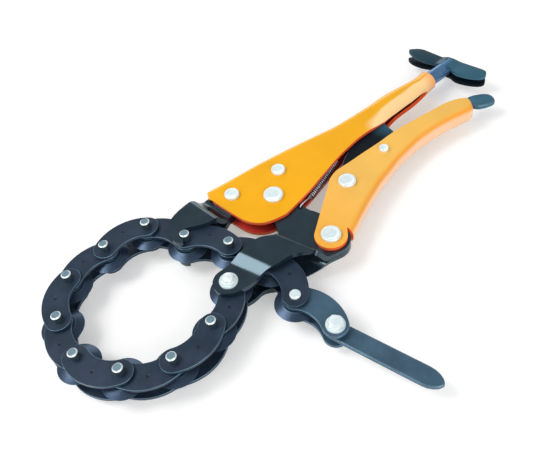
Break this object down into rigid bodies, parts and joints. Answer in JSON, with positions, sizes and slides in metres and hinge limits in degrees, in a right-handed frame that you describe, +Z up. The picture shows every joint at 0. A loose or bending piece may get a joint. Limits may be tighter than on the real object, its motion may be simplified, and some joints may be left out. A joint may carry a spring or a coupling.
{
  "type": "chain pipe cutter",
  "caption": "Locking chain pipe cutter: pliers with an adjusting screw and cross handle, and a chain of cutting wheels hooked into a loop.",
  "frame": {"origin": "middle of the resting plane under the tool as it lies flat", "axes": "+X towards the screw handle, +Z up through all pivots, the lower lever on the -Y side"},
  "size_m": [0.3096, 0.1904, 0.0243],
  "materials": {
    "amber_paint": "glossy",
    "orange_paint": "glossy",
    "black_steel": "satin",
    "wheel_steel": "satin",
    "zinc_plate": "bright",
    "teal_steel": "satin",
    "spring_wire": "satin"
  },
  "bodies": {
    "frame": {"body_shell": "amber_paint", "fixed_jaw_upper": "black_steel", "fixed_jaw_lower": "black_steel", "rivet_main": "zinc_plate", "rivet_front": "zinc_plate", "rivet_upper": "zinc_plate", "spring": "spring_wire"},
    "moving_jaw": {"moving_jaw_upper": "black_steel", "moving_jaw_lower": "black_steel", "anchor_bolt": "zinc_plate", "anchor_nut": "zinc_plate", "rivet_lever": "zinc_plate"},
    "lever": {"lever": "orange_paint", "rivet_toggle": "zinc_plate", "rivet_release": "zinc_plate"},
    "toggle_link": {"toggle_link": "black_steel"},
    "release_lever": {"release_lever": "teal_steel"},
    "adjusting_screw": {"adjusting_screw": "teal_steel"},
    "t_handle": {"t_handle": "teal_steel"},
    "link_ih": {"link_ih_upper": "black_steel", "link_ih_lower": "black_steel"},
    "link_hg": {"link_hg_upper": "black_steel", "link_hg_lower_with_pins": "black_steel"},
    "link_gf": {"link_gf_upper": "black_steel", "link_gf_lower": "black_steel"},
    "link_fe": {"link_fe_upper": "black_steel", "link_fe_lower_with_pins": "black_steel"},
    "link_ed": {"link_ed_upper": "black_steel", "link_ed_lower": "black_steel"},
    "link_dc": {"link_dc_upper": "black_steel", "link_dc_lower_with_pins": "black_steel"},
    "link_cb": {"link_cb_upper": "black_steel", "link_cb_lower": "black_steel"},
    "link_ba": {"link_ba_upper": "black_steel", "link_ba_lower_with_pins": "black_steel"},
    "link_aj": {"link_aj_upper": "black_steel", "link_aj_lower": "black_steel"},
    "link_jk": {"link_jk_upper": "black_steel", "link_jk_lower_with_pins": "black_steel"},
    "link_kl": {"link_kl_upper": "black_steel", "link_kl_lower": "black_steel"},
    "link_lm": {"link_lm_upper": "black_steel", "link_lm_lower_with_pins": "black_steel"},
    "link_mn": {"link_mn_upper": "black_steel", "link_mn_lower": "black_steel", "strap_bolt": "zinc_plate"},
    "strap": {"strap": "black_steel"},
    "wheel_i": {"wheel_i": "wheel_steel"},
    "wheel_h": {"wheel_h": "wheel_steel"},
    "wheel_g": {"wheel_g": "wheel_steel"},
    "wheel_f": {"wheel_f": "wheel_steel"},
    "wheel_e": {"wheel_e": "wheel_steel"},
    "wheel_d": {"wheel_d": "wheel_steel"},
    "wheel_c": {"wheel_c": "wheel_steel"},
    "wheel_b": {"wheel_b": "wheel_steel"},
    "wheel_a": {"wheel_a": "wheel_steel"},
    "wheel_j": {"wheel_j": "wheel_steel"},
    "wheel_k": {"wheel_k": "wheel_steel"},
    "wheel_l": {"wheel_l": "wheel_steel"},
    "wheel_m": {"wheel_m": "wheel_steel"}
  },
  "joints": [
    {"name": "jaw_swing", "type": "hinge", "parent": "frame", "child": "moving_jaw", "pos_m": [-0.00886, 0.0383, 0.0117], "axis": [0, 0, 1], "range_deg": [0, 12.05], "deforming": ["spring"]},
    {"name": "lever_swing", "type": "hinge", "parent": "moving_jaw", "child": "lever", "pos_m": [-0.01136, -0.0052, 0.0117], "axis": [0, 0, 1], "range_deg": [-52, 0]},
    {"name": "toggle_swing", "type": "hinge", "parent": "lever", "child": "toggle_link", "pos_m": [0.02404, 0.0122, 0.0117], "axis": [0, 0, 1], "range_deg": [0, 68.05]},
    {"name": "release_swing", "type": "hinge", "parent": "lever", "child": "release_lever", "pos_m": [0.05695, 0.0115, 0.0117], "axis": [0, 0, 1], "range_deg": [-2.5, 0]},
    {"name": "screw_travel", "type": "slide", "parent": "frame", "child": "adjusting_screw", "axis": [0.9925, -0.1219, 0], "range_m": [0, 0.012]},
    {"name": "handle_turn", "type": "hinge", "parent": "adjusting_screw", "child": "t_handle", "pos_m": [0.12944, 0.0306, 0.0117], "axis": [0.9925, -0.1219, 0], "range_deg": [0, 2880]},
    {"name": "link_ih_swing", "type": "hinge", "parent": "moving_jaw", "child": "link_ih", "pos_m": [-0.06726, 0.0146, 0.0117], "axis": [0, 0, 1], "range_deg": [-11.25, 0]},
    {"name": "link_hg_swing", "type": "hinge", "parent": "link_ih", "child": "link_hg", "pos_m": [-0.08973, 0.00364, 0.0117], "axis": [0, 0, 1], "range_deg": [0, 3.55]},
    {"name": "link_gf_swing", "type": "hinge", "parent": "link_hg", "child": "link_gf", "pos_m": [-0.11473, 0.00394, 0.0117], "axis": [0, 0, 1], "range_deg": [-5.67, 0]},
    {"name": "link_fe_swing", "type": "hinge", "parent": "link_gf", "child": "link_fe", "pos_m": [-0.1347, 0.01899, 0.0117], "axis": [0, 0, 1], "range_deg": [0, 5.54]},
    {"name": "link_ed_swing", "type": "hinge", "parent": "link_fe", "child": "link_ed", "pos_m": [-0.1437, 0.04231, 0.0117], "axis": [0, 0, 1], "range_deg": [0, 3.6]},
    {"name": "link_dc_swing", "type": "hinge", "parent": "link_ed", "child": "link_dc", "pos_m": [-0.13664, 0.0663, 0.0117], "axis": [0, 0, 1], "range_deg": [0, 5.85]},
    {"name": "link_cb_swing", "type": "hinge", "parent": "link_dc", "child": "link_cb", "pos_m": [-0.11838, 0.08338, 0.0117], "axis": [0, 0, 1], "range_deg": [-5.33, 0]},
    {"name": "link_ba_swing", "type": "hinge", "parent": "link_cb", "child": "link_ba", "pos_m": [-0.09339, 0.0839, 0.0117], "axis": [0, 0, 1], "range_deg": [0, 3.59]},
    {"name": "link_aj_swing", "type": "hinge", "parent": "link_ba", "child": "link_aj", "pos_m": [-0.06915, 0.07777, 0.0117], "axis": [0, 0, 1], "range_deg": [-6.2, 0]},
    {"name": "link_jk_swing", "type": "hinge", "parent": "link_aj", "child": "link_jk", "pos_m": [-0.06126, 0.05405, 0.0117], "axis": [0, 0, 1], "range_deg": [-5.69, 0]},
    {"name": "link_kl_swing", "type": "hinge", "parent": "link_jk", "child": "link_kl", "pos_m": [-0.05003, 0.03171, 0.0117], "axis": [0, 0, 1], "range_deg": [0, 12.65]},
    {"name": "link_lm_swing", "type": "hinge", "parent": "link_kl", "child": "link_lm", "pos_m": [-0.04453, 0.00733, 0.0117], "axis": [0, 0, 1], "range_deg": [0, 3.65]},
    {"name": "link_mn_swing", "type": "hinge", "parent": "link_lm", "child": "link_mn", "pos_m": [-0.05226, -0.01645, 0.0117], "axis": [0, 0, 1], "range_deg": [-25, 20]},
    {"name": "strap_swing", "type": "hinge", "parent": "link_mn", "child": "strap", "pos_m": [-0.05213, -0.04145, 0.0117], "axis": [0, 0, 1], "range_deg": [-60, 40]},
    {"name": "wheel_i_spin", "type": "hinge", "parent": "moving_jaw", "child": "wheel_i", "pos_m": [-0.06726, 0.0146, 0.0117], "axis": [0, 0, 1], "continuous": true},
    {"name": "wheel_h_spin", "type": "hinge", "parent": "link_hg", "child": "wheel_h", "pos_m": [-0.08973, 0.00364, 0.0117], "axis": [0, 0, 1], "continuous": true},
    {"name": "wheel_g_spin", "type": "hinge", "parent": "link_hg", "child": "wheel_g", "pos_m": [-0.11473, 0.00394, 0.0117], "axis": [0, 0, 1], "continuous": true},
    {"name": "wheel_f_spin", "type": "hinge", "parent": "link_fe", "child": "wheel_f", "pos_m": [-0.1347, 0.01899, 0.0117], "axis": [0, 0, 1], "continuous": true},
    {"name": "wheel_e_spin", "type": "hinge", "parent": "link_fe", "child": "wheel_e", "pos_m": [-0.1437, 0.04231, 0.0117], "axis": [0, 0, 1], "continuous": true},
    {"name": "wheel_d_spin", "type": "hinge", "parent": "link_dc", "child": "wheel_d", "pos_m": [-0.13664, 0.0663, 0.0117], "axis": [0, 0, 1], "continuous": true},
    {"name": "wheel_c_spin", "type": "hinge", "parent": "link_dc", "child": "wheel_c", "pos_m": [-0.11838, 0.08338, 0.0117], "axis": [0, 0, 1], "continuous": true},
    {"name": "wheel_b_spin", "type": "hinge", "parent": "link_ba", "child": "wheel_b", "pos_m": [-0.09339, 0.0839, 0.0117], "axis": [0, 0, 1], "continuous": true},
    {"name": "wheel_a_spin", "type": "hinge", "parent": "link_ba", "child": "wheel_a", "pos_m": [-0.06915, 0.07777, 0.0117], "axis": [0, 0, 1], "continuous": true},
    {"name": "wheel_j_spin", "type": "hinge", "parent": "link_jk", "child": "wheel_j", "pos_m": [-0.06126, 0.05405, 0.0117], "axis": [0, 0, 1], "continuous": true},
    {"name": "wheel_k_spin", "type": "hinge", "parent": "link_jk", "child": "wheel_k", "pos_m": [-0.05003, 0.03171, 0.0117], "axis": [0, 0, 1], "continuous": true},
    {"name": "wheel_l_spin", "type": "hinge", "parent": "link_lm", "child": "wheel_l", "pos_m": [-0.04453, 0.00733, 0.0117], "axis": [0, 0, 1], "continuous": true},
    {"name": "wheel_m_spin", "type": "hinge", "parent": "link_lm", "child": "wheel_m", "pos_m": [-0.05226, -0.01645, 0.0117], "axis": [0, 0, 1], "continuous": true}
  ],
  "couplings": [
    {"joint": "jaw_swing", "follows": "lever_swing", "ratio": -0.2308},
    {"joint": "toggle_swing", "follows": "lever_swing", "ratio": -1.3077},
    {"joint": "screw_travel", "follows": "handle_turn", "m_per_rad": 0.00023873},
    {"joint": "link_ih_swing", "follows": "lever_swing", "ratio": 0.21533},
    {"joint": "link_hg_swing", "follows": "lever_swing", "ratio": -0.067256},
    {"joint": "link_gf_swing", "follows": "lever_swing", "ratio": 0.10802},
    {"joint": "link_fe_swing", "follows": "lever_swing", "ratio": -0.10549},
    {"joint": "link_ed_swing", "follows": "lever_swing", "ratio": -0.068313},
    {"joint": "link_dc_swing", "follows": "lever_swing", "ratio": -0.11157},
    {"joint": "link_cb_swing", "follows": "lever_swing", "ratio": 0.10147},
    {"joint": "link_ba_swing", "follows": "lever_swing", "ratio": -0.068092},
    {"joint": "link_aj_swing", "follows": "lever_swing", "ratio": 0.11823},
    {"joint": "link_jk_swing", "follows": "lever_swing", "ratio": 0.10848},
    {"joint": "link_kl_swing", "follows": "lever_swing", "ratio": -0.24234},
    {"joint": "link_lm_swing", "follows": "lever_swing", "ratio": -0.06924}
  ]
}
